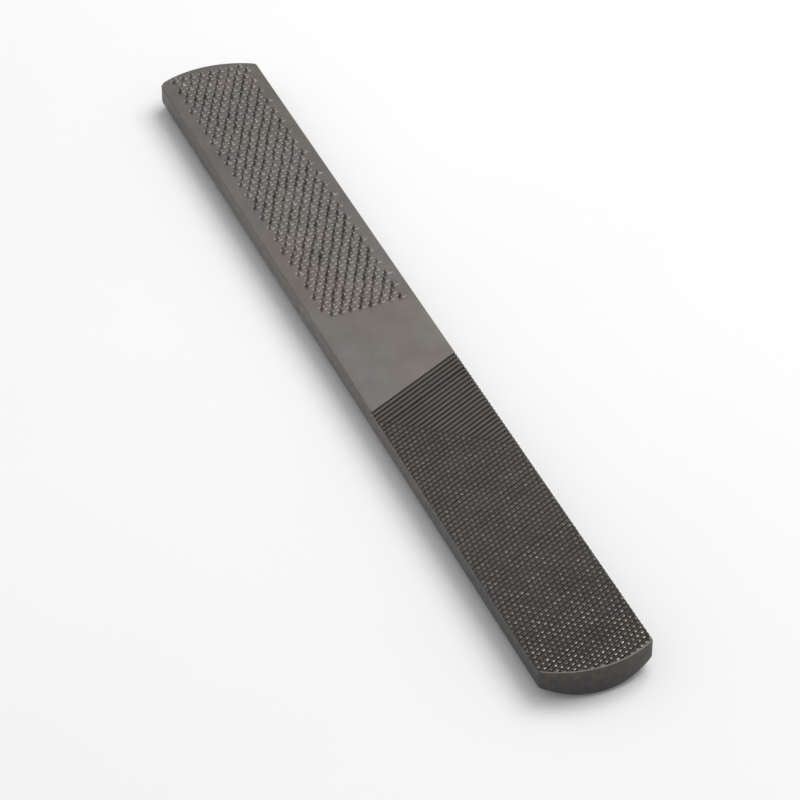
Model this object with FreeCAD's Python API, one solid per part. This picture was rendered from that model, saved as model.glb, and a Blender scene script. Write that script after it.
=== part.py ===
import FreeCAD, Part
import math
import os

from FreeCAD import Vector

# A two-ended, half-round wood rasp and file: one flat bar of hardened steel with a rounded
# back, no handle and no moving parts.  Each face is half rasp and half file, and the back
# carries the same two cuts turned end for end.  The bar is divided into the plain blank and
# the four toothed layers that are cut on it, which meet it face to face.
#
# Frame: +X runs along the bar from the rasp end of the flat face to its file end, +Y runs
# across it, and +Z stands out of the flat face.  The bar lies on its round back, and the
# origin is below its middle, level with the lowest tooth tips.  Sizes are in millimetres.

# The bar
LENGTH = 200.0
WIDTH = 21.5
THICKNESS = 5.6
WALL_HEIGHT = 3.6
END_RISE = 2.95
CORNER_RADIUS = 1.0
WORN_CORNER_RADIUS = 2.8

# How deep the toothed layers reach below the plain surface
LAYER_DEPTH = 0.8

# Punched rasp teeth stand in rows across the bar, with every other row half a pitch over
RASP_ROWS = 44
RASP_ROW_SPACING = 2.03
RASP_LAST_ROW_X = -10.3
RASP_TEETH_PER_ROW = 8
RASP_TOOTH_PITCH = 2.05
RASP_LAYER_END_X = -8.5

# One rasp tooth: a raised burr, and in front of it the pit that the punch left
TOOTH_SKEW_DEG = -24.0
TOOTH_HEIGHT = 0.6
TOOTH_BACK = 0.95
TOOTH_HALF_WIDTH = 0.55
PIT_LENGTH = 1.2
PIT_DEPTH = 0.45
PIT_DEEPEST = 0.35
PUNCH_START = 0.1
BURIED = 0.1

# Two crossing cuts make the file teeth of the flat face, each a row of chisel ridges
FIRST_CUT_TURN_DEG = 27.0
FIRST_CUT_START = 13.87
FIRST_CUT_SPACING = 1.0
FIRST_CUT_DEPTH = 0.35
SECOND_CUT_TURN_DEG = -37.5
SECOND_CUT_START = 25.2
SECOND_CUT_SPACING = 1.1
SECOND_CUT_DEPTH = 0.2
RIDGE_RISE = 0.1
RIDGE_FACE_RUN = 0.15

# The round back's file teeth: ridges round the crown, crossed by grooves along the bar
ROUND_FILE_START_X = -12.0
ROUND_RIDGE_SPACING = 1.1
ROUND_GROOVE_SPACING = 1.4
ROUND_GROOVE_DEPTH = 0.25

# Sizes that follow from the ones above
HALF_LENGTH = LENGTH / 2
HALF_WIDTH = WIDTH / 2
BACK_Z = TOOTH_HEIGHT
FLAT_Z = BACK_Z + THICKNESS
CROWN_HEIGHT = THICKNESS - WALL_HEIGHT
CROWN_RADIUS = (HALF_WIDTH ** 2 + CROWN_HEIGHT ** 2) / (2 * CROWN_HEIGHT)
CROWN_AXIS_Z = BACK_Z + CROWN_RADIUS

# Far enough to pass right through the bar in any direction
REACH = LENGTH

# Two places this close together are the same place
SAME_PLACE = 0.001

LENGTHWISE = Vector(1, 0, 0)
CROSSWISE = Vector(0, 1, 0)
UPWARD = Vector(0, 0, 1)


def polygon_face(points):
    """A flat face with straight sides through the points."""
    return Part.Face(Part.makePolygon(points + points[:1]))


def pyramid(base, tip):
    """A solid with straight sides from a flat base to one point."""
    faces = [polygon_face(base)]
    for first, second in zip(base, base[1:] + base[:1]):
        faces.append(polygon_face([first, second, tip]))
    solid = Part.Solid(Part.Shell(faces))
    if solid.Volume < 0:
        solid.reverse()
    return solid


def rounded_at(prism, x, y, radius):
    """The prism with its upright edge at x, y rounded."""
    corner = []
    for edge in prism.Edges:
        middle = edge.CenterOfMass
        if math.hypot(middle.x - x, middle.y - y) < SAME_PLACE:
            corner.append(edge)
    return prism.makeFillet(radius, corner)


def plan_prism():
    """The bar's outline from above as a tall prism: straight sides and arched ends."""
    side_end = HALF_LENGTH - END_RISE
    bottom = -REACH
    far_left = Vector(-side_end, -HALF_WIDTH, bottom)
    near_left = Vector(side_end, -HALF_WIDTH, bottom)
    near_right = Vector(side_end, HALF_WIDTH, bottom)
    far_right = Vector(-side_end, HALF_WIDTH, bottom)
    outline = Part.Wire([
        Part.makeLine(far_left, near_left),
        Part.Arc(near_left, Vector(HALF_LENGTH, 0, bottom), near_right).toShape(),
        Part.makeLine(near_right, far_right),
        Part.Arc(far_right, Vector(-HALF_LENGTH, 0, bottom), far_left).toShape(),
    ])
    prism = Part.Face(outline).extrude(Vector(0, 0, 2 * REACH))
    for corner in (near_left, near_right, far_right):
        prism = rounded_at(prism, corner.x, corner.y, CORNER_RADIUS)
    return rounded_at(prism, far_left.x, far_left.y, WORN_CORNER_RADIUS)


def half_round_rod():
    """The bar's half-round section drawn out along X, longer than the bar."""
    wall_foot = FLAT_Z - WALL_HEIGHT
    top_left = Vector(-REACH, -HALF_WIDTH, FLAT_Z)
    top_right = Vector(-REACH, HALF_WIDTH, FLAT_Z)
    foot_right = Vector(-REACH, HALF_WIDTH, wall_foot)
    foot_left = Vector(-REACH, -HALF_WIDTH, wall_foot)
    section = Part.Wire([
        Part.makeLine(top_left, top_right),
        Part.makeLine(top_right, foot_right),
        Part.Arc(foot_right, Vector(-REACH, 0, BACK_Z), foot_left).toShape(),
        Part.makeLine(foot_left, top_left),
    ])
    return Part.Face(section).extrude(Vector(2 * REACH, 0, 0))


def slab(low_x, high_x, low_z, high_z):
    """A block that is wider than the bar."""
    corner = Vector(low_x, -WIDTH, low_z)
    return Part.makeBox(high_x - low_x, 2 * WIDTH, high_z - low_z, corner)


def crown_cylinder(radius, low_x, high_x):
    """A cylinder about the axis that the round back is drawn from."""
    start = Vector(low_x, 0, CROWN_AXIS_Z)
    return Part.makeCylinder(radius, high_x - low_x, start, LENGTHWISE)


def flat_point(x, y):
    """Puts a tooth that is drawn at the origin onto the flat face."""
    return FreeCAD.Placement(Vector(x, y, FLAT_Z), FreeCAD.Rotation())


def round_point(x, y):
    """Puts a tooth onto the round back, y along the curve, with the bar turned over."""
    lean_deg = -math.degrees(y / CROWN_RADIUS)
    outward = FreeCAD.Placement(Vector(0, 0, CROWN_RADIUS), FreeCAD.Rotation())
    leaned = FreeCAD.Placement(Vector(x, 0, 0), FreeCAD.Rotation(LENGTHWISE, lean_deg))
    turned = FreeCAD.Placement(Vector(0, 0, CROWN_AXIS_Z), FreeCAD.Rotation(CROSSWISE, 180))
    return turned * leaned * outward


def burr():
    """One raised rasp tooth with its tip over the origin, its foot a little inside the steel."""
    foot = [
        Vector(PUNCH_START, -TOOTH_HALF_WIDTH, -BURIED),
        Vector(PUNCH_START, TOOTH_HALF_WIDTH, -BURIED),
        Vector(-TOOTH_BACK, 0, -BURIED),
    ]
    return pyramid(foot, Vector(0, 0, TOOTH_HEIGHT))


def pit():
    """The pit in front of one rasp tooth, open above the surface."""
    mouth = [
        Vector(PUNCH_START, -TOOTH_HALF_WIDTH, BURIED),
        Vector(PUNCH_START, TOOTH_HALF_WIDTH, BURIED),
        Vector(PIT_LENGTH, 0, BURIED),
    ]
    return pyramid(mouth, Vector(PIT_DEEPEST, 0, -PIT_DEPTH))


def rasp_places():
    """Where the rasp teeth stand: along the bar, and across it."""
    places = []
    for row in range(RASP_ROWS):
        x = RASP_LAST_ROW_X - row * RASP_ROW_SPACING
        shift = RASP_TOOTH_PITCH / 4 * (1 if row % 2 == 0 else -1)
        for tooth in range(RASP_TEETH_PER_ROW):
            y = (tooth - (RASP_TEETH_PER_ROW - 1) / 2) * RASP_TOOTH_PITCH + shift
            places.append((x, y))
    return places


def punched(layer, point_on_face):
    """A layer with its rows of pits cut in and its rows of burrs raised."""
    skew = FreeCAD.Placement(Vector(), FreeCAD.Rotation(UPWARD, TOOTH_SKEW_DEG))
    burrs = []
    pits = []
    for x, y in rasp_places():
        placement = point_on_face(x, y) * skew
        burrs.append(burr().transformed(placement.Matrix))
        pits.append(pit().transformed(placement.Matrix))
    return layer.cut(Part.makeCompound(pits)).fuse(burrs)


def chisel_ridges(turn_deg, start, spacing, depth, plain_z):
    """A prism whose top is a row of chisel ridges, steep on the side that faces +X."""
    root_z = FLAT_Z - depth
    crest_z = FLAT_Z + RIDGE_RISE
    floor_z = FLAT_Z - LAYER_DEPTH
    turn = math.radians(turn_deg)
    run = HALF_LENGTH * math.cos(turn) + HALF_WIDTH * abs(math.sin(turn)) - start
    profile = [
        Vector(-REACH, 0, floor_z),
        Vector(-REACH, 0, plain_z),
        Vector(start, 0, plain_z),
        Vector(start + RIDGE_FACE_RUN, 0, root_z),
    ]
    ridges = math.ceil(run / spacing)
    for ridge in range(1, ridges + 1):
        crest = start + ridge * spacing
        profile.append(Vector(crest, 0, crest_z))
        profile.append(Vector(crest + RIDGE_FACE_RUN, 0, root_z))
    profile.append(Vector(profile[-1].x, 0, floor_z))
    face = polygon_face(profile)
    face.translate(Vector(0, -REACH, 0))
    prism = face.extrude(Vector(0, 2 * REACH, 0))
    prism.rotate(Vector(), UPWARD, turn_deg)
    return prism


def first_cut_side():
    """Everything on the file's side of its first chisel line, as deep as a toothed layer."""
    corner = Vector(FIRST_CUT_START, -REACH, FLAT_Z - LAYER_DEPTH)
    side = Part.makeBox(REACH, 2 * REACH, 2 * LAYER_DEPTH, corner)
    side.rotate(Vector(), UPWARD, FIRST_CUT_TURN_DEG)
    return side


def round_ridges():
    """The ridges round the crown, as one solid turned about the crown's axis."""
    inner = CROWN_RADIUS - LAYER_DEPTH
    root = CROWN_RADIUS - SECOND_CUT_DEPTH - RIDGE_RISE
    profile = [Vector(ROUND_FILE_START_X, 0, inner), Vector(ROUND_FILE_START_X, 0, CROWN_RADIUS)]
    ridges = math.ceil((HALF_LENGTH + ROUND_FILE_START_X) / ROUND_RIDGE_SPACING)
    for ridge in range(ridges):
        x = ROUND_FILE_START_X - ridge * ROUND_RIDGE_SPACING
        profile.append(Vector(x - RIDGE_FACE_RUN, 0, root))
        profile.append(Vector(x - ROUND_RIDGE_SPACING, 0, CROWN_RADIUS))
    profile.append(Vector(profile[-1].x, 0, inner))
    ring = polygon_face(profile).revolve(Vector(), LENGTHWISE, 360)
    ring.translate(Vector(0, 0, CROWN_AXIS_Z))
    return ring


def round_grooves():
    """Thin wedges along the bar, spaced round the crown, that part the ridges into teeth."""
    wedges = []
    half_count = int(HALF_WIDTH / ROUND_GROOVE_SPACING)
    outer = CROWN_RADIUS + BURIED
    for groove in range(-half_count, half_count + 1):
        angle = math.degrees(groove * ROUND_GROOVE_SPACING / CROWN_RADIUS)
        section = polygon_face([
            Vector(-REACH, 0, -CROWN_RADIUS + ROUND_GROOVE_DEPTH),
            Vector(-REACH, -ROUND_GROOVE_DEPTH, -outer),
            Vector(-REACH, ROUND_GROOVE_DEPTH, -outer),
        ])
        wedge = section.extrude(Vector(REACH + ROUND_FILE_START_X, 0, 0))
        wedge.rotate(Vector(), LENGTHWISE, angle)
        wedge.translate(Vector(0, 0, CROWN_AXIS_Z))
        wedges.append(wedge)
    return Part.makeCompound(wedges)


def make_rasp():
    """All the nodes of the bar by name."""
    plan = plan_prism()
    bar = half_round_rod().common(plan)
    layer_floor = FLAT_Z - LAYER_DEPTH
    inner_crown = crown_cylinder(CROWN_RADIUS - LAYER_DEPTH, -REACH, REACH)

    flat_rasp_layer = bar.common(slab(-REACH, RASP_LAYER_END_X, layer_floor, FLAT_Z))
    flat_file_layer = bar.common(first_cut_side())
    round_rasp_layer = bar.cut(inner_crown).common(slab(-RASP_LAYER_END_X, REACH, -REACH, REACH))
    round_file_layer = bar.cut(inner_crown).common(slab(-REACH, ROUND_FILE_START_X, -REACH, REACH))

    first_cut = chisel_ridges(
        FIRST_CUT_TURN_DEG, FIRST_CUT_START, FIRST_CUT_SPACING, FIRST_CUT_DEPTH, FLAT_Z)
    second_cut = chisel_ridges(
        SECOND_CUT_TURN_DEG, SECOND_CUT_START, SECOND_CUT_SPACING, SECOND_CUT_DEPTH,
        FLAT_Z + LAYER_DEPTH)
    flat_file = first_cut.common(first_cut_side()).common(plan).common(second_cut)

    return {
        "steel_blank": bar.cut([flat_rasp_layer, flat_file_layer, round_rasp_layer, round_file_layer]),
        "flat_rasp_face": punched(flat_rasp_layer, flat_point),
        "flat_file_face": flat_file,
        "round_rasp_face": punched(round_rasp_layer, round_point),
        "round_file_face": round_file_layer.common(round_ridges()).cut(round_grooves()),
    }


os.makedirs("parts", exist_ok=True)
for node, shape in make_rasp().items():
    shape.exportStep("parts/" + node + ".step")
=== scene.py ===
import math

import bmesh
import bpy
import numpy as np
from mathutils import Matrix, Vector


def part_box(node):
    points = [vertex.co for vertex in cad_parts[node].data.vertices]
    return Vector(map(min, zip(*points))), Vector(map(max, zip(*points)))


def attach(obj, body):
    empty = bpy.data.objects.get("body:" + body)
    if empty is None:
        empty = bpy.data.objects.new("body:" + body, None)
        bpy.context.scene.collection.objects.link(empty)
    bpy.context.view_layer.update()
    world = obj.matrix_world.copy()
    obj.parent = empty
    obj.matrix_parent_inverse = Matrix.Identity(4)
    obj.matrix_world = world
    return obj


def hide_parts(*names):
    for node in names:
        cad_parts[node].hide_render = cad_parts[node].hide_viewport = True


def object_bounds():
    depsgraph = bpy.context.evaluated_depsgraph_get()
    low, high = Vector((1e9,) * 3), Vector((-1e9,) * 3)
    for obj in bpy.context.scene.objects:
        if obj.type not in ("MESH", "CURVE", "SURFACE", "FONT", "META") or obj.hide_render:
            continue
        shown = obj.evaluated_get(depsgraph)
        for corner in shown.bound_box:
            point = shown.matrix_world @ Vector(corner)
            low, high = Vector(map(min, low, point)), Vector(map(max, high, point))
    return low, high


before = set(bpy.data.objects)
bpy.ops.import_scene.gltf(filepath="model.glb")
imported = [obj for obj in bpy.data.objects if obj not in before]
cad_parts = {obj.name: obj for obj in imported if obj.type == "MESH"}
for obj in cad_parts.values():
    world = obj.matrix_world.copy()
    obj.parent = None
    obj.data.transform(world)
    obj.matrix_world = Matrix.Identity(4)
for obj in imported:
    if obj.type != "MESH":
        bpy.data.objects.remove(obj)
cad_low, cad_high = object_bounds()

# A two-ended wood rasp: one half-round steel bar, with punched rasp teeth on half of each
# face and double-cut file teeth on the other half.  Each cut layer is a closed mesh of its
# own that meets the bar face to face.  All sizes are in metres.

MM = 0.001

# The bar, from its CAD box
BAR_LOW, BAR_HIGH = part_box("steel_blank")
HALF_LENGTH = (BAR_HIGH.x - BAR_LOW.x) / 2
HALF_WIDTH = (BAR_HIGH.y - BAR_LOW.y) / 2
FLAT_Z = BAR_HIGH.z
BACK_Z = BAR_LOW.z
FLAT_LAYER_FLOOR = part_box("flat_rasp_face")[0].z
LAYER_DEPTH = FLAT_Z - FLAT_LAYER_FLOOR
RASP_LAYER_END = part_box("flat_rasp_face")[1].x
ROUND_FILE_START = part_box("round_file_face")[1].x
WALL_HEIGHT = 3.6 * MM
CROWN_HEIGHT = FLAT_Z - BACK_Z - WALL_HEIGHT
CROWN_RADIUS = (HALF_WIDTH ** 2 + CROWN_HEIGHT ** 2) / (2 * CROWN_HEIGHT)

# Its outline from above
END_RISE = 2.95 * MM
END_RADIUS = (HALF_WIDTH ** 2 + END_RISE ** 2) / (2 * END_RISE)
END_CENTRE = HALF_LENGTH - END_RADIUS
CORNER_RADIUS = 1.0 * MM
WORN_CORNER_RADIUS = 2.8 * MM
SOFT_EDGE = 0.2 * MM

# How finely the outline, the soft edge and the sheets are divided
RIM_STEPS = 5
ARC_PIECES = 28
CORNER_PIECES = 6
BAR_LINES_X = 81
BAR_LINES_Y = 21
FLOOR_STRIPS = 10
RASP_MARGIN_LINES = 5
FILE_MARGIN_LINES = 4
CUTTER_LINES = 49
SHEET_OVERHANG = 2 * MM
SLANT_REACH = 5 * MM

# Points this near the outline are on it, and edges this near a clipping line lie along it
ON_OUTLINE = 0.05 * MM
CLIP_SLACK = 0.02 * MM
SAME_PLACE = 0.0001 * MM

# Points of a layer's floor wait this far down until they are put in place
MARKED_FLOOR = -1.0

# Faces that meet at more than this angle keep a crisp edge between them
SHARP_ANGLE = math.radians(50)

# Rasp teeth, in rows across the bar with every other row half a pitch over
ROW_SPACING = 2.03 * MM
TOOTH_PITCH = 2.05 * MM
ROWS = 44
TEETH_PER_ROW = 8
LAST_ROW_X = -10.3 * MM
PIT_SKEW = math.radians(-17)
PIT_START = (-0.25 * MM, 0.1 * MM)
PIT_LENGTH = 1.8 * MM
PIT_DEPTH = 0.28 * MM
PIT_HALF_WIDTH = 0.36 * MM
PIT_STEEP_END = 3.5
PIT_EASY_END = 1.4
PIT_WALLS = 1.5
BURR_HEIGHT = 0.6 * MM
BURR_TIP = (0.4 * MM, 0.34 * MM)
BURR_BACK = 1.35 * MM
BURR_FRONT = 0.5 * MM
BURR_STEEP_SIDE = 0.32 * MM
BURR_EASY_SIDE = 0.75 * MM
# How fast the painted highlight on a burr grows towards its tip
BURR_HIGHLIGHT_POWER = 0.8
TOOTH_REACH = 2.2 * MM
RASP_STEPS_PER_ROW = 16
RASP_STEPS_PER_PITCH = 12
RASP_FIELD_STEPS = 51

# File teeth: two crossing cuts, each a row of chisel ridges
FIRST_CUT_TURN = math.radians(27.0)
FIRST_CUT_START = 13.87 * MM
FIRST_CUT_SPACING = 1.0 * MM
FIRST_CUT_DEPTH = 0.35 * MM
SECOND_CUT_TURN = math.radians(-37.5)
SECOND_CUT_START = 25.2 * MM
SECOND_CUT_SPACING = 1.1 * MM
SECOND_CUT_DEPTH = 0.22 * MM
RIDGE_RISE = 0.08 * MM
SECOND_CUT_LEAD = 30 * MM
SECOND_CUT_LEAD_STEP = 1 * MM
PLAIN_RIM = 0.5 * MM
PLAIN_RIM_FADE = 0.25 * MM
WORN_UNTIL = 0.6 * HALF_LENGTH
WORN_SHARPNESS = 0.5

# A ridge of the first cut and a notch of the second, from one crest to the next: the share of
# the way, the height in depths (or in rises above the surface), and the painted shade and
# highlight there, from -1 for the deepest painted shade to 1 for the brightest painted highlight
FIRST_CUT_RIDGE = (
    (0.09, -0.90, -0.9), (0.20, -1.00, -1.0), (0.32, -0.75, -0.7), (0.44, -0.35, -0.2),
    (0.56, 0.50, 0.1), (0.74, 1.00, 0.2), (0.90, 1.00, 0.4), (1.00, 0.80, 0.8))
SECOND_CUT_NOTCH = (
    (0.07, -0.70, -0.4), (0.16, -1.00, -0.6), (0.26, -0.70, -0.4), (0.36, -0.20, 0.0),
    (0.48, 1.00, 0.1), (0.75, 1.00, 0.3), (1.00, 1.00, 0.9))
ABOVE_ALL = 1 * MM
ROUND_RIDGE_SPACING = 1.1 * MM
ROUND_GROOVE_SPACING = 1.4 * MM
ROUND_GROOVE_DEPTH = 0.25 * MM

# A groove of the round back: the share of the way to the next groove, and the depth there
ROUND_GROOVE = ((-0.5, 0), (-0.2, 0), (-0.1, 0.6), (0, 1), (0.1, 0.6), (0.2, 0))

# How unevenly the teeth are punched and the ridges cut, as shares or lengths or radians, and
# the starts of each layer's own random draws
TOOTH_JITTER = 0.08 * MM
SKEW_JITTER = math.radians(5)
SIZE_JITTER = 0.12
DEPTH_JITTER = 0.05
PITCH_JITTER = 0.008
FLAT_RASP_SEED = 11
ROUND_RASP_SEED = 12
FLAT_FILE_SEED = 21
ROUND_FILE_SEED = 22

# Colours of the steel: its sides, finished by grinding, in a grey made darker towards the ends by
# painted shade; and the tints that drift over it
SIDE_COLORS_WITH_PAINTED_SHADE = (
    (0.0, (0.117, 0.112, 0.108)), (0.25, (0.150, 0.145, 0.139)), (0.46, (0.167, 0.161, 0.156)),
    (0.65, (0.137, 0.132, 0.128)), (0.87, (0.098, 0.095, 0.093)), (1.0, (0.082, 0.079, 0.077)))
WARM_TINT = (1.03, 1.0, 0.95)
COOL_TINT = (0.98, 1.0, 1.03)

# How far the clouds, the mottling and the fine grain darken and lighten the steel
CLOUD_SHADES = ((0.3, (0.92, 0.92, 0.92)), (0.7, (1.08, 1.08, 1.08)))
MOTTLE_SHADES = ((0.32, (0.84, 0.84, 0.85)), (0.68, (1.16, 1.15, 1.13)))
GRAIN_SHADES = ((0.3, (0.86, 0.86, 0.86)), (0.7, (1.14, 1.14, 1.14)))
FLOOR_SHADES = ((0.3, (0.90, 0.90, 0.90)), (0.7, (0.93, 0.93, 0.93)))
GRAIN_ROUGHNESS = 0.07
GRAIN_BUMP = 0.35
GRAIN_HEIGHT = 0.04 * MM

# The stage
FLOOR_HALF_SIZE = 1.5
WORLD_LIGHT = 0.6
KEY_AZIMUTH = 200
KEY_ELEVATION = 60
KEY_DISTANCE = 0.9
KEY_SIZE = 0.7
KEY_POWER = 5
CAMERA_LENS = 160.07
CAMERA_AZIMUTH = 67.66
CAMERA_ELEVATION = 38.62
CAMERA_DISTANCE = 0.6605
CAMERA_AIM_X = 19.6 * MM
CAMERA_AIM_Y = -4.4 * MM


# ---------------------------------------------------------------- the bar's outline

def corner_shape(x, y):
    """The rounded corner nearest each point: its radius and its centre, for |x| and |y|."""
    radius = np.where((x < 0) & (y < 0), WORN_CORNER_RADIUS, CORNER_RADIUS)
    centre_y = HALF_WIDTH - radius
    centre_x = END_CENTRE + np.sqrt((END_RADIUS - radius) ** 2 - centre_y ** 2)
    return radius, centre_x, centre_y


def outline_at(x, y):
    """How far inside the outline each plan point lies, and the way straight out of it."""
    x, y = np.asarray(x, float), np.asarray(y, float)
    across, along = np.abs(y), np.abs(x)
    radius, centre_x, centre_y = corner_shape(x, y)

    end_x = np.maximum(along - END_CENTRE, 0)
    end_reach = np.hypot(end_x, across)
    from_end = END_RADIUS - end_reach
    from_side = HALF_WIDTH - across
    by_end = from_end < from_side
    inside = np.where(by_end, from_end, from_side)
    out_x = np.where(by_end, end_x / np.maximum(end_reach, 1e-9), 0.0)
    out_y = np.where(by_end, across / np.maximum(end_reach, 1e-9), 1.0)

    corner_x, corner_y = along - centre_x, across - centre_y
    corner_reach = np.maximum(np.hypot(corner_x, corner_y), 1e-9)
    turn = (centre_x - END_CENTRE) * corner_y - centre_y * corner_x
    in_corner = (corner_x > 0) & (turn > 0)
    inside = np.where(in_corner, radius - corner_reach, inside)
    out_x = np.where(in_corner, corner_x / corner_reach, out_x)
    out_y = np.where(in_corner, corner_y / corner_reach, out_y)
    return inside, out_x * np.sign(x), out_y * np.sign(y)


def end_curve(end, inset):
    """Points round one arched end, inset from the outline, from +Y to -Y."""
    points = []
    for side in (1, -1):
        radius, centre_x, centre_y = corner_shape(np.float64(end), np.float64(side))
        lean = math.atan2(centre_y, centre_x - END_CENTRE)
        corner = []
        for step in range(CORNER_PIECES + 1):
            angle = math.pi / 2 + (lean - math.pi / 2) * step / CORNER_PIECES
            corner.append((
                centre_x + (radius - inset) * math.cos(angle),
                side * (centre_y + (radius - inset) * math.sin(angle))))
        points += corner if side > 0 else corner[::-1]
    last_corner = points[CORNER_PIECES]
    next_corner = points[CORNER_PIECES + 1]
    reach = END_RADIUS - inset
    first_angle = math.atan2(last_corner[1], last_corner[0] - END_CENTRE)
    last_angle = math.atan2(next_corner[1], next_corner[0] - END_CENTRE)
    arc = []
    for step in range(1, ARC_PIECES):
        angle = first_angle + (last_angle - first_angle) * step / ARC_PIECES
        arc.append((END_CENTRE + reach * math.cos(angle), reach * math.sin(angle)))
    points[CORNER_PIECES + 1:CORNER_PIECES + 1] = arc
    return [Vector((end * x, y, 0)) for x, y in points]


# ---------------------------------------------------------------- sheets and closed pieces

def grid_sheet(x, y):
    """A flat sheet of four-sided faces through a grid of plan points."""
    rows, columns = x.shape
    points = np.stack([x, y, np.zeros_like(x)], axis=-1).reshape(-1, 3)
    index = np.arange(rows * columns).reshape(rows, columns)
    corners = (index[:-1, :-1], index[1:, :-1], index[1:, 1:], index[:-1, 1:])
    faces = np.stack(corners, axis=-1).reshape(-1, 4)
    mesh = bpy.data.meshes.new("sheet")
    mesh.from_pydata(points.tolist(), [], faces.tolist())
    sheet = bmesh.new()
    sheet.from_mesh(mesh)
    bpy.data.meshes.remove(mesh)
    return sheet


def bisect(sheet, parts, point, outward, cut_away=False):
    """Cuts some parts of a sheet along a line in plan, and returns what is left of them."""
    return bmesh.ops.bisect_plane(
        sheet, geom=parts, dist=SAME_PLACE, plane_co=point, plane_no=outward,
        clear_outer=cut_away)["geom"]


def all_parts(sheet):
    """Every point, edge and face of a sheet."""
    return sheet.verts[:] + sheet.edges[:] + sheet.faces[:]


def clip_to_bar(sheet, ends):
    """Cuts a sheet to the bar's outline, inset by the width of the soft edge."""
    for side in (-1, 1):
        place = Vector((0, side * (HALF_WIDTH - SOFT_EDGE), 0))
        bisect(sheet, all_parts(sheet), place, Vector((0, side, 0)), cut_away=True)
    for end in ends:
        limit = HALF_LENGTH - END_RISE - WORN_CORNER_RADIUS
        near = [face for face in sheet.faces if face.calc_center_median().x * end > limit]
        parts = list(dict.fromkeys(
            part for face in near for part in (*face.verts, *face.edges, face)))
        curve = end_curve(end, SOFT_EDGE)
        for first, second in zip(curve, curve[1:]):
            run = (second - first).normalized() * end
            parts = bisect(sheet, parts, first, Vector((-run.y, run.x, 0)), cut_away=True)


def add_rim(sheet, slant=None):
    """Grows a clipped sheet out to the outline, in steps that a soft edge can bend over.

    slant is (place, slope) of a skewed zone line, which the rim's ends have to follow.
    """
    border = [edge for edge in sheet.edges if edge.is_boundary]
    middles = np.array([((edge.verts[0].co + edge.verts[1].co) / 2)[:2] for edge in border])
    inside = outline_at(middles[:, 0], middles[:, 1])[0]
    edges = [edge for edge, depth in zip(border, inside) if depth < SOFT_EDGE + CLIP_SLACK]
    for step in range(1, RIM_STEPS + 1):
        left = SOFT_EDGE * (1 - math.sin(math.pi / 2 * step / RIM_STEPS))
        grown = bmesh.ops.extrude_edge_only(sheet, edges=edges)["geom"]
        moved = [item for item in grown if isinstance(item, bmesh.types.BMVert)]
        edges = [item for item in grown if isinstance(item, bmesh.types.BMEdge)]
        places = np.array([vert.co[:] for vert in moved])
        inside, out_x, out_y = outline_at(places[:, 0], places[:, 1])
        grow = inside - left
        if slant:
            start, slope = slant
            from_line = places[:, 0] - (start - slope * places[:, 1])
            nearness = np.clip(1 - from_line / SLANT_REACH, 0, 1)
            places[:, 0] -= slope * out_y * grow * nearness
        places[:, 0] += out_x * grow
        places[:, 1] += out_y * grow
        for vert, place in zip(moved, places):
            vert.co = place


def close_below(sheet):
    """Gives a flat sheet walls and a floor at MARKED_FLOOR, the floor in narrow strips."""
    edges = [edge for edge in sheet.edges if edge.is_boundary]
    grown = bmesh.ops.extrude_edge_only(sheet, edges=edges)["geom"]
    for item in grown:
        if isinstance(item, bmesh.types.BMVert):
            item.co.z = MARKED_FLOOR
    loop = [item for item in grown if isinstance(item, bmesh.types.BMEdge)]
    floor = bmesh.ops.contextual_create(sheet, geom=loop)["faces"][0]
    parts = [floor, *floor.edges, *floor.verts]
    for strip in range(1, FLOOR_STRIPS):
        y = HALF_WIDTH * (2 * strip / FLOOR_STRIPS - 1)
        parts = bisect(sheet, parts, Vector((0, y, 0)), Vector((0, 1, 0)))


def soft_drop(inside):
    """How far the surface falls away towards the outline over its soft edge."""
    short = np.clip(SOFT_EDGE - inside, 0, SOFT_EDGE)
    return SOFT_EDGE - np.sqrt(SOFT_EDGE ** 2 - short ** 2)


def crown_z(y, radius):
    """Height of a cylinder about the crown's axis at a place across the bar."""
    return BACK_Z + CROWN_RADIUS - np.sqrt(radius ** 2 - y ** 2)


def on_flat(x, y, height, inside):
    """Where points of the flat face lie, at a height above its plain surface.

    The depth inside the outline makes no difference here, as it does on the round back.
    """
    return np.stack([x, y, FLAT_Z + height], axis=-1)


def on_round(x, y, height, inside):
    """Where points of the round back lie: height stands out from the crown."""
    lean = np.arcsin(y / CROWN_RADIUS) * np.clip(inside / SOFT_EDGE, 0, 1)
    z = crown_z(y, CROWN_RADIUS) - height * np.cos(lean)
    return np.stack([x, y + height * np.sin(lean), z], axis=-1)


def flat_floor(x, y):
    """The underside of a layer on the flat face."""
    return np.stack([x, y, np.full_like(x, FLAT_LAYER_FLOOR)], axis=-1)


def round_floor(x, y):
    """The inner side of a layer on the round back."""
    return np.stack([x, y, crown_z(y, CROWN_RADIUS - LAYER_DEPTH)], axis=-1)


def mark_sharp_walls(sheet):
    """Keeps the corners of the walls and the floor crisp, and lets all else shade smoothly."""
    for edge in sheet.edges:
        if len(edge.link_faces) == 2 and any(face.tag for face in edge.link_faces):
            edge.smooth = edge.calc_face_angle() < SHARP_ANGLE


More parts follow.
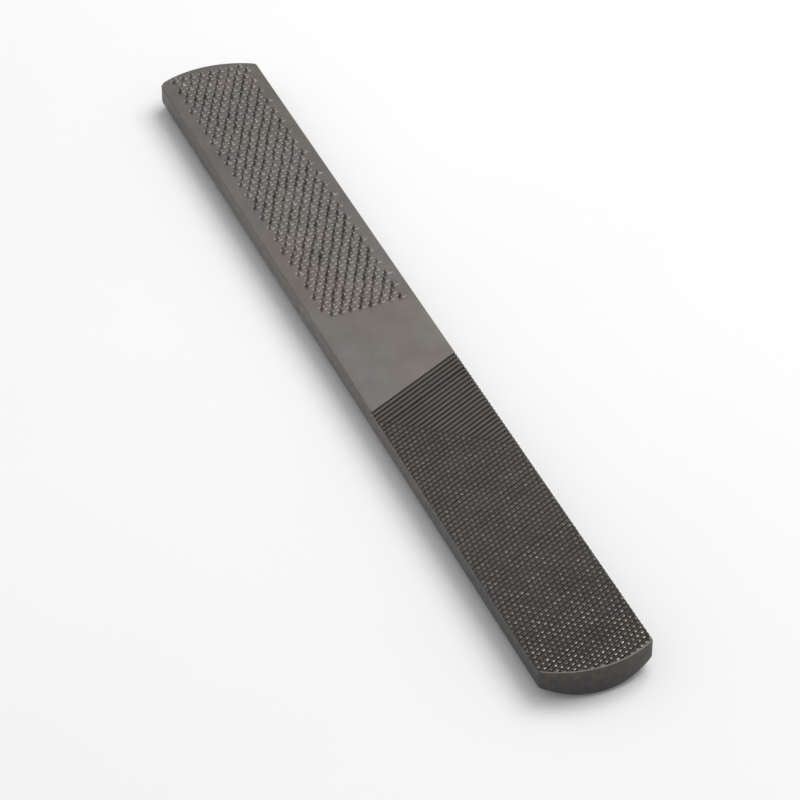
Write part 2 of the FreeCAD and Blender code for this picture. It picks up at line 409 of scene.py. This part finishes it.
def layer_piece(name, sheet, teeth, place, floor):
    """One toothed layer as a closed piece: teeth(x, y) gives heights over the plain surface."""
    close_below(sheet)
    points = np.array([vert.co[:] for vert in sheet.verts])
    x, y = points[:, 0], points[:, 1]
    on_top = points[:, 2] > MARKED_FLOOR / 2
    inside = outline_at(x, y)[0]
    tooth, shade_and_highlight = teeth(x, y)
    height = np.minimum(tooth, np.maximum(tooth, 0) - soft_drop(inside))
    placed = np.where(on_top[:, None], place(x, y, height, inside), floor(x, y))
    for face in sheet.faces:
        face.smooth = True
        face.tag = any(vert.co.z < MARKED_FLOOR / 2 for vert in face.verts)
    for vert, point in zip(sheet.verts, placed):
        vert.co = point
    bmesh.ops.recalc_face_normals(sheet, faces=sheet.faces[:])
    if sheet.calc_volume(signed=True) < 0:
        bmesh.ops.reverse_faces(sheet, faces=sheet.faces[:])
    sheet.normal_update()
    mark_sharp_walls(sheet)
    return mesh_piece(name, sheet, np.where(on_top, shade_and_highlight, 0))


def mark_sides(mesh):
    """Marks the points on the bar's upright sides and ends for its material."""
    places = np.empty(len(mesh.vertices) * 3, np.float32)
    mesh.vertices.foreach_get("co", places)
    x, y = places[0::3], places[1::3]
    on_side = outline_at(x, y)[0] < ON_OUTLINE
    kept = mesh.attributes.new("side", "FLOAT", "POINT")
    kept.data.foreach_set("value", on_side.astype(np.float32))


def mesh_piece(name, sheet, shade_and_highlight):
    """Makes the object, with each point's painted shade and highlight kept for its material."""
    mesh = bpy.data.meshes.new(name)
    sheet.to_mesh(mesh)
    sheet.free()
    kept = mesh.attributes.new("shade_and_highlight", "FLOAT", "POINT")
    kept.data.foreach_set("value", shade_and_highlight.astype(np.float32))
    mark_sides(mesh)
    piece = bpy.data.objects.new(name, mesh)
    bpy.context.scene.collection.objects.link(piece)
    return piece


# ---------------------------------------------------------------- rasp teeth

def rasp_places():
    """Where the teeth of a rasp layer stand, in the flat face's own sense."""
    places = []
    for row in range(ROWS):
        x = LAST_ROW_X - row * ROW_SPACING
        shift = TOOTH_PITCH / 4 * (1 if row % 2 == 0 else -1)
        for tooth in range(TEETH_PER_ROW):
            y = (tooth - (TEETH_PER_ROW - 1) / 2) * TOOTH_PITCH + shift
            places.append((x, y))
    return places


def eased(share):
    """A share from 0 to 1 with a soft start and a soft end."""
    share = np.clip(share, 0, 1)
    return share * share * (3 - 2 * share)


def burr_height(along, across, size):
    """A raised burr beside its pit: long behind, blunt in front, steep over the pit."""
    along, across = along - BURR_TIP[0], across - BURR_TIP[1]
    lengthwise = np.minimum(1 + along / (BURR_BACK * size), 1 - along / BURR_FRONT)
    crosswise = np.minimum(1 + across / BURR_STEEP_SIDE, 1 - across / BURR_EASY_SIDE)
    return BURR_HEIGHT * size * eased(lengthwise) * eased(crosswise)


def pit_depth(along, across, size):
    """The punch's long narrow pit: steep where the punch went in, and easy at the other end."""
    from_x, from_y = along - PIT_START[0], across - PIT_START[1]
    down = from_x * math.cos(PIT_SKEW) + from_y * math.sin(PIT_SKEW)
    aside = from_y * math.cos(PIT_SKEW) - from_x * math.sin(PIT_SKEW)
    share = down / (PIT_LENGTH * size)
    lengthwise = np.clip(np.minimum(PIT_STEEP_END * share, PIT_EASY_END * (1 - share)), 0, 1)
    crosswise = np.clip(PIT_WALLS * (1 - np.abs(aside) / PIT_HALF_WIDTH), 0, 1)
    return PIT_DEPTH * size * lengthwise * crosswise


def rasp_teeth(x, y, roll):
    """Heights of a rasp layer, with painted shade in its pits and a painted highlight on its burrs: each
    tooth a little different, as punching is.
    """
    raised = np.zeros_like(x)
    sunk = np.zeros_like(x)
    order = np.argsort(x)
    sorted_x = x[order]
    for tooth_x, tooth_y in rasp_places():
        tooth_x += roll.normal(0, TOOTH_JITTER)
        tooth_y += roll.normal(0, TOOTH_JITTER)
        skew = roll.normal(0, SKEW_JITTER)
        size = 1 + roll.normal(0, SIZE_JITTER)
        low, high = np.searchsorted(sorted_x, [tooth_x - TOOTH_REACH, tooth_x + TOOTH_REACH])
        near = order[low:high]
        near = near[np.abs(y[near] - tooth_y) < TOOTH_REACH]
        from_x, from_y = x[near] - tooth_x, y[near] - tooth_y
        along = from_x * math.cos(skew) + from_y * math.sin(skew)
        across = from_y * math.cos(skew) - from_x * math.sin(skew)
        raised[near] = np.maximum(raised[near], burr_height(along, across, size))
        sunk[near] = np.maximum(sunk[near], pit_depth(along, across, size))
    height = np.minimum(np.where(raised > sunk, raised, raised - sunk), BURR_HEIGHT)
    # A painted highlight on each burr towards its tip, minus painted shade in the pits
    painted_light = np.clip(raised / BURR_HEIGHT, 0, 1) ** BURR_HIGHLIGHT_POWER
    shade_and_highlight = painted_light - np.clip(sunk / PIT_DEPTH, 0, 1)
    return height, shade_and_highlight


def rasp_sheet(end):
    """A fine sheet for a rasp layer that ends at one end of the bar."""
    step_x = ROW_SPACING / RASP_STEPS_PER_ROW
    step_y = TOOTH_PITCH / RASP_STEPS_PER_PITCH
    rows = int((HALF_LENGTH + RASP_LAYER_END) / step_x) + 1
    x = RASP_LAYER_END - step_x * np.arange(rows + 1)
    field = step_y * np.arange(-RASP_FIELD_STEPS, RASP_FIELD_STEPS + 1)
    margin = np.linspace(field[-1], HALF_WIDTH, RASP_MARGIN_LINES)[1:]
    y = np.concatenate([-margin[::-1], field, margin])
    grid_x, grid_y = np.meshgrid(x * -end, y, indexing="ij")
    sheet = grid_sheet(grid_x, grid_y)
    clip_to_bar(sheet, [end])
    add_rim(sheet)
    return sheet


# ---------------------------------------------------------------- file teeth

def chisel_profile(start, before, shape, spacing, depth, reach, roll):
    """One cut as places along it, heights there and painted shade and highlight there, each stroke a
    little uneven.

    The surface stands at the height given by before until the cut starts.
    """
    points = [(start, before, 0.0)]
    foot = start
    while foot < reach:
        deep = depth * (1 + roll.normal(0, DEPTH_JITTER))
        rise = RIDGE_RISE * (1 + roll.normal(0, DEPTH_JITTER))
        pitch = spacing * (1 + roll.normal(0, PITCH_JITTER))
        for share, level, shade_and_highlight in shape:
            points.append((foot + share * pitch, level * (deep if level < 0 else rise), shade_and_highlight))
        foot += pitch
    return np.array(points).T


def along_cut(x, y, turn):
    """How far plan points lie along a cut that is turned from the bar's length."""
    return x * math.cos(turn) + y * math.sin(turn)


def file_sheet(first, second):
    """A sheet whose lines follow both cuts, so that every ridge and groove is crisp."""
    lead_in = np.arange(second[0] - SECOND_CUT_LEAD, second[0], SECOND_CUT_LEAD_STEP)
    u, v = np.meshgrid(first, np.concatenate([lead_in, second]), indexing="ij")
    spread = math.sin(FIRST_CUT_TURN - SECOND_CUT_TURN)
    x = (v * math.sin(FIRST_CUT_TURN) - u * math.sin(SECOND_CUT_TURN)) / spread
    y = (u * math.cos(SECOND_CUT_TURN) - v * math.cos(FIRST_CUT_TURN)) / spread
    near = (np.abs(y) < HALF_WIDTH + SHEET_OVERHANG) & (x < HALF_LENGTH + SHEET_OVERHANG)
    rows = near.any(axis=1)
    columns = near.any(axis=0)
    keep = np.ix_(rows, columns)
    sheet = grid_sheet(x[keep], y[keep])
    clip_to_bar(sheet, [1])
    return sheet


def end_fade(x, y):
    """Nothing on the plain rim along the arched end, and one further in."""
    from_end = END_RADIUS - np.hypot(np.maximum(x - END_CENTRE, 0), y)
    return np.clip((from_end - PLAIN_RIM) / PLAIN_RIM_FADE, 0, 1)


def file_teeth(x, y, first, second):
    """The double cut: at each point the lower of its two cuts, and plain at the very end.

    The second cut is worn, and the painted highlight on the tips is weaker, all but near the arched end.
    """
    one = along_cut(x, y, FIRST_CUT_TURN)
    other = along_cut(x, y, SECOND_CUT_TURN)
    sharpness = np.interp(x, (WORN_UNTIL, HALF_LENGTH), (WORN_SHARPNESS, 1.0))
    cross_height = np.interp(other, second[0], second[1]) * sharpness
    cross_shade_and_highlight = np.interp(other, second[0], second[2])
    height = np.minimum(np.interp(one, first[0], first[1]), cross_height)
    shade_and_highlight = np.minimum(np.interp(one, first[0], first[2]), cross_shade_and_highlight)
    # The painted highlight on the crests, and the painted shade in the second cut's notches, are both
    # weaker where that cut is worn
    painted_light = np.where((shade_and_highlight > 0) | (cross_shade_and_highlight < 0), shade_and_highlight * sharpness, shade_and_highlight)
    fade = end_fade(x, y)
    return height * fade, painted_light * fade


def flat_file_piece():
    """The double-cut file on the flat face, from its first skewed line to the end."""
    roll = np.random.default_rng(FLAT_FILE_SEED)
    reach = HALF_LENGTH + HALF_WIDTH
    first = chisel_profile(
        FIRST_CUT_START, 0, FIRST_CUT_RIDGE, FIRST_CUT_SPACING, FIRST_CUT_DEPTH, reach, roll)
    second = chisel_profile(
        SECOND_CUT_START, ABOVE_ALL, SECOND_CUT_NOTCH, SECOND_CUT_SPACING, SECOND_CUT_DEPTH,
        reach, roll)
    sheet = file_sheet(first[0], second[0])
    slope = math.tan(FIRST_CUT_TURN)
    add_rim(sheet, slant=(FIRST_CUT_START / math.cos(FIRST_CUT_TURN), slope))

    def teeth(x, y):
        return file_teeth(x, y, first, second)
    return layer_piece("flat_file_skin", sheet, teeth, on_flat, flat_floor)


def groove_profile():
    """Grooves along the bar as places round the crown and heights there, from side to side."""
    places = []
    heights = []
    count = int(HALF_WIDTH / ROUND_GROOVE_SPACING)
    for groove in range(-count, count + 1):
        for share, deep in ROUND_GROOVE:
            places.append((groove + share) * ROUND_GROOVE_SPACING)
            heights.append(-deep * ROUND_GROOVE_DEPTH)
    return np.array(places), np.array(heights)


def round_file_piece():
    """The file on the round back: ridges round the crown, parted by grooves along the bar."""
    roll = np.random.default_rng(ROUND_FILE_SEED)
    start = -ROUND_FILE_START
    ridges = chisel_profile(
        start, 0, FIRST_CUT_RIDGE, ROUND_RIDGE_SPACING, FIRST_CUT_DEPTH, HALF_LENGTH, roll)
    grooves = groove_profile()
    lines = ridges[0][ridges[0] < HALF_LENGTH]
    left_margin = np.linspace(-HALF_WIDTH, grooves[0][0], FILE_MARGIN_LINES)[:-1]
    right_margin = np.linspace(grooves[0][-1], HALF_WIDTH, FILE_MARGIN_LINES)[1:]
    across = np.concatenate([left_margin, grooves[0], right_margin])
    grid_x, grid_y = np.meshgrid(-lines, across, indexing="ij")
    sheet = grid_sheet(grid_x, grid_y)
    clip_to_bar(sheet, [-1])
    add_rim(sheet)

    def teeth(x, y):
        groove = np.interp(y, *grooves)
        height = np.minimum(np.interp(-x, ridges[0], ridges[1]), groove + RIDGE_RISE)
        # Painted shade that deepens in the grooves along the bar
        shade_and_highlight = np.interp(-x, ridges[0], ridges[2]) + groove / ROUND_GROOVE_DEPTH
        fade = end_fade(-x, y)
        return height * fade, np.maximum(shade_and_highlight, -1) * fade
    return layer_piece("round_file_skin", sheet, teeth, on_round, round_floor)


def flat_rasp_piece():
    """The punched half of the flat face."""
    roll = np.random.default_rng(FLAT_RASP_SEED)

    def teeth(x, y):
        return rasp_teeth(x, y, roll)
    return layer_piece("flat_rasp_skin", rasp_sheet(-1), teeth, on_flat, flat_floor)


def round_rasp_piece():
    """The punched half of the round back, with the bar turned end for end."""
    roll = np.random.default_rng(ROUND_RASP_SEED)

    def teeth(x, y):
        return rasp_teeth(-x, y, roll)
    return layer_piece("round_rasp_skin", rasp_sheet(1), teeth, on_round, round_floor)


# ---------------------------------------------------------------- the bar

def bar_solid():
    """The whole half-round bar with soft edges, before its toothed layers are let in."""
    lines_x = np.linspace(-HALF_LENGTH, HALF_LENGTH, BAR_LINES_X)
    lines_y = np.linspace(-HALF_WIDTH, HALF_WIDTH, BAR_LINES_Y)
    grid_x, grid_y = np.meshgrid(lines_x, lines_y, indexing="ij")
    sheet = grid_sheet(grid_x, grid_y)
    clip_to_bar(sheet, [-1, 1])
    add_rim(sheet)
    everything = all_parts(sheet)
    border = [edge for edge in sheet.edges if edge.is_boundary]
    twin = bmesh.ops.duplicate(sheet, geom=everything)["vert_map"]
    for edge in border:
        one, other = edge.verts
        sheet.faces.new((one, other, twin[other], twin[one]))
    back = {twin[vert] for vert in everything if isinstance(vert, bmesh.types.BMVert)}
    for vert in sheet.verts:
        x, y = vert.co.x, vert.co.y
        drop = float(soft_drop(outline_at(x, y)[0]))
        if vert in back:
            vert.co.z = float(crown_z(y, CROWN_RADIUS)) + drop
        else:
            vert.co.z = FLAT_Z - drop
    for face in sheet.faces:
        face.smooth = True
    bmesh.ops.recalc_face_normals(sheet, faces=sheet.faces[:])
    return mesh_piece("steel_bar", sheet, np.zeros(len(sheet.verts)))


def prism(sheet, section, low_x, high_x, turn=0.0):
    """Adds a closed prism along X to a mesh, from a section of (y, z) points."""
    ends = []
    for x in (low_x, high_x):
        ends.append([sheet.verts.new((x, y, z)) for y, z in section])
    count = len(section)
    for i in range(count):
        j = (i + 1) % count
        sheet.faces.new((ends[0][i], ends[0][j], ends[1][j], ends[1][i]))
    sheet.faces.new(ends[0][::-1])
    sheet.faces.new(ends[1])
    rotate = Matrix.Rotation(turn, 3, "Z")
    bmesh.ops.rotate(sheet, verts=ends[0] + ends[1], cent=(0, 0, 0), matrix=rotate)


def layer_cutters():
    """The space of the four toothed layers, to take out of the bar."""
    sheet = bmesh.new()
    wide = 3 * HALF_LENGTH
    top = [(-wide, FLAT_LAYER_FLOOR), (wide, FLAT_LAYER_FLOOR), (wide, 2 * FLAT_Z), (-wide, 2 * FLAT_Z)]
    prism(sheet, top, -wide, RASP_LAYER_END)
    prism(sheet, top, FIRST_CUT_START, wide, FIRST_CUT_TURN)
    inner = CROWN_RADIUS - LAYER_DEPTH
    beside = 1.2 * HALF_WIDTH
    across = np.linspace(-beside, beside, CUTTER_LINES)
    below = [(y, float(crown_z(y, inner))) for y in across]
    below += [(across[-1], -FLAT_Z), (across[0], -FLAT_Z)]
    prism(sheet, below, -wide, ROUND_FILE_START)
    prism(sheet, below, -RASP_LAYER_END, wide)
    bmesh.ops.recalc_face_normals(sheet, faces=sheet.faces[:])
    return mesh_piece("cutters", sheet, np.zeros(len(sheet.verts)))


def bar_piece():
    """The plain bar with room for its toothed layers."""
    bar = bar_solid()
    cutters = layer_cutters()
    cut = bar.modifiers.new("layers", "BOOLEAN")
    cut.operation = "DIFFERENCE"
    cut.solver = "EXACT"
    cut.object = cutters
    shaped = bpy.data.meshes.new_from_object(bar.evaluated_get(bpy.context.evaluated_depsgraph_get()))
    bar.modifiers.clear()
    bar.data = shaped
    shaped.attributes.remove(shaped.attributes["side"])
    mark_sides(shaped)
    shaped.set_sharp_from_angle(angle=SHARP_ANGLE)
    bpy.data.objects.remove(cutters)
    return bar


# ---------------------------------------------------------------- materials

def node(tree, kind, **values):
    """Adds a shader node and sets its plain properties and its inputs by name."""
    made = tree.nodes.new(kind)
    for name, value in values.items():
        if hasattr(made, name):
            setattr(made, name, value)
        else:
            made.inputs[name.replace("_", " ")].default_value = value
    return made


def noise(tree, place, scale, detail=3.0, stretch=(1, 1, 1)):
    """Noise over the object at a scale in features per metre, drawn out by stretch."""
    mapping = node(tree, "ShaderNodeMapping")
    mapping.inputs["Scale"].default_value = stretch
    tree.links.new(place, mapping.inputs["Vector"])
    made = node(tree, "ShaderNodeTexNoise")
    made.inputs["Scale"].default_value = scale
    made.inputs["Detail"].default_value = detail
    tree.links.new(mapping.outputs["Vector"], made.inputs["Vector"])
    return made.outputs["Fac"]


def ramp(tree, value, stops):
    """A colour ramp through (place, colour) stops."""
    made = node(tree, "ShaderNodeValToRGB")
    elements = made.color_ramp.elements
    while len(elements) < len(stops):
        elements.new(0.5)
    for element, (place, color) in zip(elements, stops):
        element.position = place
        element.color = (*color, 1)
    tree.links.new(value, made.inputs["Fac"])
    return made.outputs["Color"]


def put(tree, socket, value):
    """Gives a socket a number or colour, or links another node's output to it."""
    if hasattr(value, "is_linked"):
        tree.links.new(value, socket)
    else:
        socket.default_value = value


def math_node(tree, operation, first, second):
    """One piece of arithmetic on two values, each a number or another node's output."""
    made = node(tree, "ShaderNodeMath", operation=operation)
    put(tree, made.inputs[0], first)
    put(tree, made.inputs[1], second)
    return made.outputs[0]


def blend_colors(tree, kind, factor, first, second):
    """Two colours mixed by a factor, which is a number or another node's output."""
    made = node(tree, "ShaderNodeMix")
    made.data_type = "RGBA"
    made.blend_type = kind
    for socket, value in ((made.inputs[0], factor), (made.inputs[6], first), (made.inputs[7], second)):
        put(tree, socket, value)
    return made.outputs[2]


def spread(tree, value, low, high, to_low, to_high):
    """Maps a value's range onto another."""
    made = node(tree, "ShaderNodeMapRange")
    for name, number in (("From Min", low), ("From Max", high), ("To Min", to_low), ("To Max", to_high)):
        made.inputs[name].default_value = number
    tree.links.new(value, made.inputs["Value"])
    return made.outputs["Result"]


def steel(name, plain, shade_color, highlight_color, rough):
    """Hardened grey steel: clouded and finely grained, with painted shade in its cuts and a painted
    highlight on its tips.

    Its sides, finished by grinding, are the same on every piece: mottled, and made darker towards the
    ends by painted shade.
    """
    material = bpy.data.materials.new(name)
    material.use_nodes = True
    tree = material.node_tree
    shader = tree.nodes["Principled BSDF"]
    place = node(tree, "ShaderNodeTexCoord").outputs["Object"]
    shade_and_highlight = node(tree, "ShaderNodeAttribute", attribute_name="shade_and_highlight").outputs["Fac"]
    side = node(tree, "ShaderNodeAttribute", attribute_name="side").outputs["Fac"]

    clouds = noise(tree, place, 160)
    tints = noise(tree, place, 45, 2.0)
    mottle = noise(tree, place, 800, 4.0)
    grain = noise(tree, place, 5200, 4.0)
    strokes = noise(tree, place, 900, 3.0, (0.12, 1, 1))

    # Painted shade in the cuts and painted highlight on the tips, the highlight made uneven at random by
    # gleam
    gleam = spread(tree, noise(tree, place, 850, 2.0), 0.42, 0.7, 0.3, 1.6)
    lit = math_node(tree, "MULTIPLY", math_node(tree, "MAXIMUM", shade_and_highlight, 0), gleam)
    uneven = math_node(tree, "ADD", lit, math_node(tree, "MINIMUM", shade_and_highlight, 0))
    by_shade_and_highlight = spread(tree, uneven, -1, 1, 0, 1)
    face = ramp(tree, by_shade_and_highlight, [(0.0, shade_color), (0.46, plain), (0.54, plain), (1.0, highlight_color)])
    cloudy = ramp(tree, clouds, CLOUD_SHADES)
    face = blend_colors(tree, "MULTIPLY", 1.0, face, cloudy)
    tinted = ramp(tree, tints, [(0.35, WARM_TINT), (0.65, COOL_TINT)])
    face = blend_colors(tree, "MULTIPLY", 1.0, face, tinted)

    # Painted shade on the sides: darker towards the ends of the bar
    apart = node(tree, "ShaderNodeSeparateXYZ")
    tree.links.new(place, apart.inputs[0])
    along = spread(tree, apart.outputs["X"], -HALF_LENGTH, HALF_LENGTH, 0, 1)
    side_color_and_shade = ramp(tree, along, SIDE_COLORS_WITH_PAINTED_SHADE)
    patchy = ramp(tree, mottle, MOTTLE_SHADES)
    side_color_and_shade = blend_colors(tree, "MULTIPLY", 1.0, side_color_and_shade, patchy)

    color = blend_colors(tree, "MIX", side, face, side_color_and_shade)
    speckled = ramp(tree, grain, GRAIN_SHADES)
    color = blend_colors(tree, "MULTIPLY", 1.0, color, speckled)
    tree.links.new(color, shader.inputs["Base Color"])
    shader.inputs["Metallic"].default_value = 1.0

    grain_rough = spread(
        tree, grain, 0.3, 0.7, rough - GRAIN_ROUGHNESS, rough + GRAIN_ROUGHNESS)
    tree.links.new(grain_rough, shader.inputs["Roughness"])

    surface = math_node(tree, "ADD", grain, strokes)
    bump = node(tree, "ShaderNodeBump")
    bump.inputs["Strength"].default_value = GRAIN_BUMP
    bump.inputs["Distance"].default_value = GRAIN_HEIGHT
    tree.links.new(surface, bump.inputs["Height"])
    tree.links.new(bump.outputs["Normal"], shader.inputs["Normal"])
    return material


def floor_material():
    """A plain pale surface with the faintest unevenness."""
    material = bpy.data.materials.new("pale_floor")
    material.use_nodes = True
    tree = material.node_tree
    shader = tree.nodes["Principled BSDF"]
    place = node(tree, "ShaderNodeTexCoord").outputs["Object"]
    paper = ramp(tree, noise(tree, place, 6), FLOOR_SHADES)
    tree.links.new(paper, shader.inputs["Base Color"])
    shader.inputs["Roughness"].default_value = 0.85
    return material


# ---------------------------------------------------------------- stage

def make_floor():
    """A wide floor level with the lowest tooth tips."""
    mesh = bpy.data.meshes.new("floor")
    sheet = bmesh.new()
    bmesh.ops.create_grid(sheet, x_segments=8, y_segments=8, size=FLOOR_HALF_SIZE)
    sheet.to_mesh(mesh)
    sheet.free()
    floor = bpy.data.objects.new("floor", mesh)
    floor.location.z = cad_low.z
    mesh.materials.append(floor_material())
    bpy.context.scene.collection.objects.link(floor)


def direction(azimuth, elevation):
    """The way from the object towards a viewer: azimuth 0 is -Y and 90 is +X, in degrees."""
    turn, rise = math.radians(azimuth), math.radians(elevation)
    return Vector((
        math.sin(turn) * math.cos(rise), -math.cos(turn) * math.cos(rise), math.sin(rise)))


def soft_light(name, azimuth, elevation, distance, size, power):
    """A large square lamp that faces the middle of the bar."""
    data = bpy.data.lights.new(name, "AREA")
    data.size = size
    data.energy = power
    lamp = bpy.data.objects.new(name, data)
    towards = direction(azimuth, elevation)
    lamp.location = towards * distance
    lamp.rotation_euler = (-towards).to_track_quat("-Z", "Y").to_euler()
    bpy.context.scene.collection.objects.link(lamp)


def make_world():
    """Even white light from all round."""
    world = bpy.data.worlds.new("studio")
    world.use_nodes = True
    background = world.node_tree.nodes["Background"]
    background.inputs["Color"].default_value = (1, 1, 1, 1)
    background.inputs["Strength"].default_value = WORLD_LIGHT
    bpy.context.scene.world = world
    bpy.context.scene.view_settings.view_transform = "Standard"


def make_camera():
    """A long lens from above the file end."""
    data = bpy.data.cameras.new("camera")
    data.lens = CAMERA_LENS
    data.sensor_width = 36
    camera = bpy.data.objects.new("camera", data)
    towards = direction(CAMERA_AZIMUTH, CAMERA_ELEVATION)
    aim = Vector((CAMERA_AIM_X, CAMERA_AIM_Y, FLAT_Z))
    camera.location = aim + towards * CAMERA_DISTANCE
    camera.rotation_euler = (-towards).to_track_quat("-Z", "Y").to_euler()
    bpy.context.scene.collection.objects.link(camera)
    bpy.context.scene.camera = camera


# ---------------------------------------------------------------- the model

def show(piece, node_name, material):
    """Puts a piece in its node's place, with its material."""
    piece.data.materials.clear()
    piece.data.materials.append(material)
    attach(piece, "root")
    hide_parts(node_name)


# Each steel: its plain grey, the colour of the painted shade in its cuts, the colour of the painted
# highlight on its tips, and its roughness
plain_steel = steel(
    "plain_steel", (0.187, 0.174, 0.162), (0.05, 0.045, 0.04), (0.4, 0.39, 0.38), 0.5)
punched_steel = steel(
    "punched_steel", (0.187, 0.173, 0.161), (0.125, 0.114, 0.105), (0.33, 0.31, 0.288), 0.45)
file_steel = steel(
    "file_cut_steel", (0.110, 0.103, 0.096), (0.058, 0.054, 0.050), (0.75, 0.72, 0.68), 0.42)

show(bar_piece(), "steel_blank", plain_steel)
show(flat_rasp_piece(), "flat_rasp_face", punched_steel)
show(flat_file_piece(), "flat_file_face", file_steel)
show(round_rasp_piece(), "round_rasp_face", punched_steel)
show(round_file_piece(), "round_file_face", file_steel)

make_floor()
make_world()
soft_light("key", KEY_AZIMUTH, KEY_ELEVATION, KEY_DISTANCE, KEY_SIZE, KEY_POWER)
make_camera()
